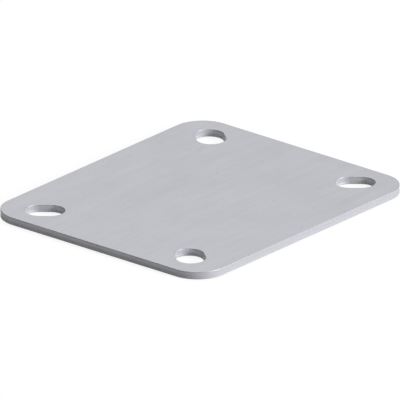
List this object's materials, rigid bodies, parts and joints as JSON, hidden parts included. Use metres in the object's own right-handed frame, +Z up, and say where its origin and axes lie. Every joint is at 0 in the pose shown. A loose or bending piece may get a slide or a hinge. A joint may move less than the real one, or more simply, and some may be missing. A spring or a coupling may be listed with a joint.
{
  "type": "metal plate",
  "caption": "Flat rectangular steel mounting plate with rounded corners and a short diagonal bolt slot near each corner.",
  "frame": {"origin": "centre of the plate's outline, on its underside", "axes": "+X along the long side, +Y along the short side, +Z up through the thickness"},
  "size_m": [0.1, 0.085, 0.0025],
  "materials": {
    "steel": "satin"
  },
  "bodies": {
    "root": {"plate": "steel"}
  },
  "joints": []
}
